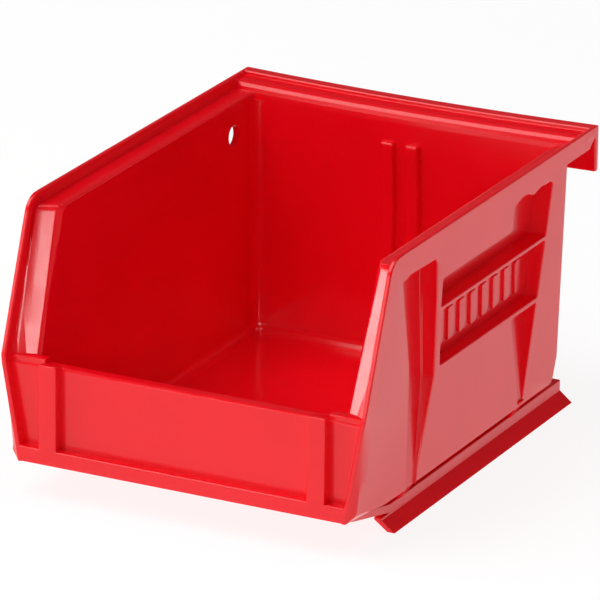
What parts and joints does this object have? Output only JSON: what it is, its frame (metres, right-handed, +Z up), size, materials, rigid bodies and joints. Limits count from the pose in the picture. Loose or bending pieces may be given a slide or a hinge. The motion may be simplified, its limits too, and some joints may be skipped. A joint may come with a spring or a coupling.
{
  "type": "hanging parts bin",
  "caption": "Open-fronted moulded plastic storage bin that hangs from a louvred panel or rail by its rear lip, and stacks on runners.",
  "frame": {"origin": "centre of the bounding box's footprint, on the plane that the runners stand on", "axes": "+X to the right as seen from the front, +Y from the open front to the hanger at the back, +Z up"},
  "size_m": [0.1048, 0.138, 0.0762],
  "materials": {
    "red_plastic": "glossy moulded polypropylene, solid red"
  },
  "bodies": {
    "root": {"back_wall": "red_plastic", "floor": "red_plastic", "front_wall": "red_plastic", "hanger_lip": "red_plastic", "hanger_shelf": "red_plastic", "label_lip": "red_plastic", "left_base_rail": "red_plastic", "left_blank_panel": "red_plastic", "left_centre_side_panel": "red_plastic", "left_divider_rib": "red_plastic", "left_front_corner": "red_plastic", "left_front_groove_web": "red_plastic", "left_front_side_panel": "red_plastic", "left_grip_rail": "red_plastic", "left_grip_shelf": "red_plastic", "left_label_rib": "red_plastic", "left_rear_corner": "red_plastic", "left_rear_groove_web": "red_plastic", "left_rear_side_post": "red_plastic", "left_rim": "red_plastic", "left_side_wall": "red_plastic", "left_stacking_ledge": "red_plastic", "left_stacking_runner": "red_plastic", "right_base_rail": "red_plastic", "right_blank_panel": "red_plastic", "right_centre_side_panel": "red_plastic", "right_divider_rib": "red_plastic", "right_front_corner": "red_plastic", "right_front_groove_web": "red_plastic", "right_front_side_panel": "red_plastic", "right_grip_rail": "red_plastic", "right_grip_shelf": "red_plastic", "right_label_rib": "red_plastic", "right_rear_corner": "red_plastic", "right_rear_groove_web": "red_plastic", "right_rear_side_post": "red_plastic", "right_rim": "red_plastic", "right_side_wall": "red_plastic", "right_stacking_ledge": "red_plastic", "right_stacking_runner": "red_plastic"}
  },
  "joints": []
}
